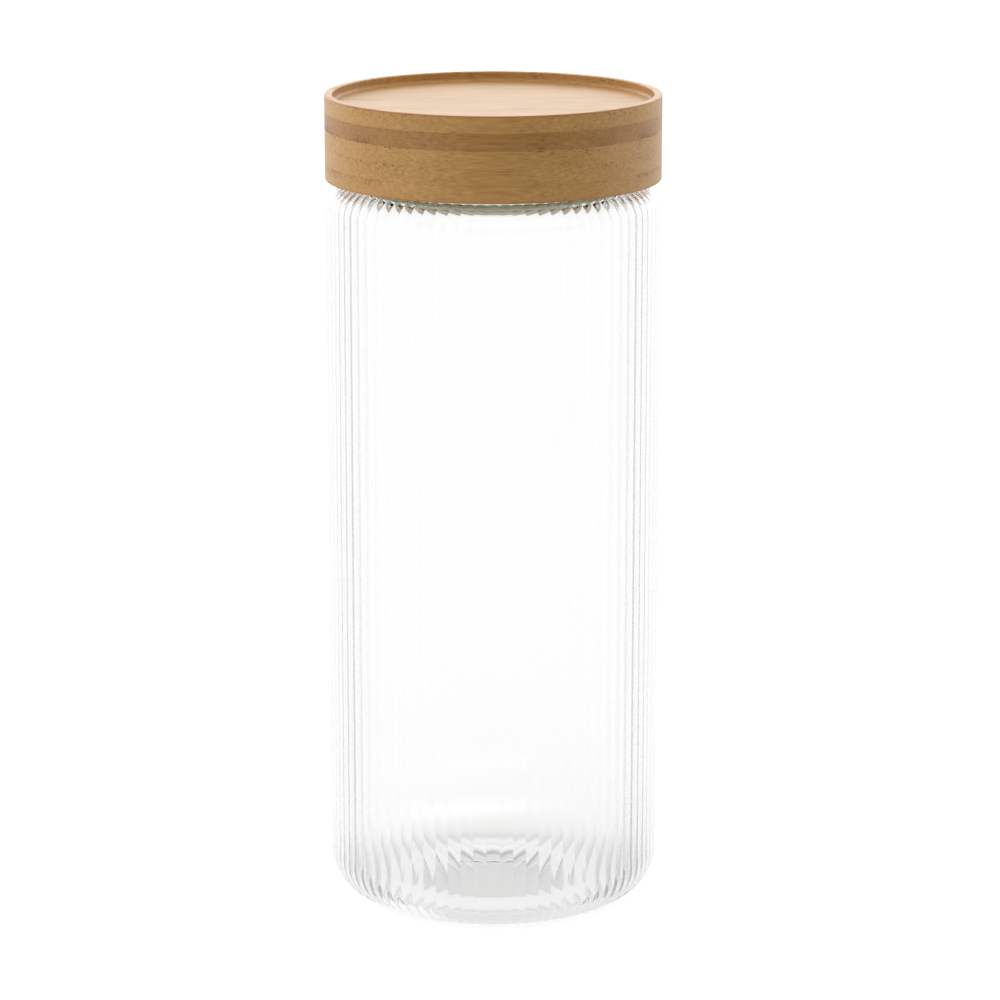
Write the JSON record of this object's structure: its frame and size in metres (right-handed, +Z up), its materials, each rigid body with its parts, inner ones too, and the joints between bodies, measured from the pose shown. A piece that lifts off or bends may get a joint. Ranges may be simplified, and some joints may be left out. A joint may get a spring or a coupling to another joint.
{
  "type": "storage jar",
  "caption": "Tall round ribbed glass storage jar with a thick laminated bamboo lid that lifts off, a silicone seal round the lid's plug and a shallow stacking recess on top.",
  "frame": {"origin": "centre of the jar's base, on the surface it stands on", "axes": "+Z up along the jar's axis, through the lid; X runs along the grain of the bamboo plies"},
  "size_m": [0.105, 0.105, 0.258],
  "materials": {
    "clear_glass": "clear polished",
    "bamboo_light": "satin, clear oiled",
    "bamboo_dark": "satin, clear oiled",
    "silicone": "matte, translucent"
  },
  "bodies": {
    "jar": {"glass_jar": "clear_glass"},
    "lid": {"silicone_seal": "silicone", "plug_ply": "bamboo_light", "bottom_ply": "bamboo_light", "lower_core_ply": "bamboo_light", "upper_core_ply": "bamboo_light", "dark_ply": "bamboo_dark", "top_ply": "bamboo_light"}
  },
  "joints": [
    {"name": "lid_lift", "type": "slide", "parent": "jar", "child": "lid", "axis": [0, 0, 1], "range_m": [0, 0.06]}
  ]
}
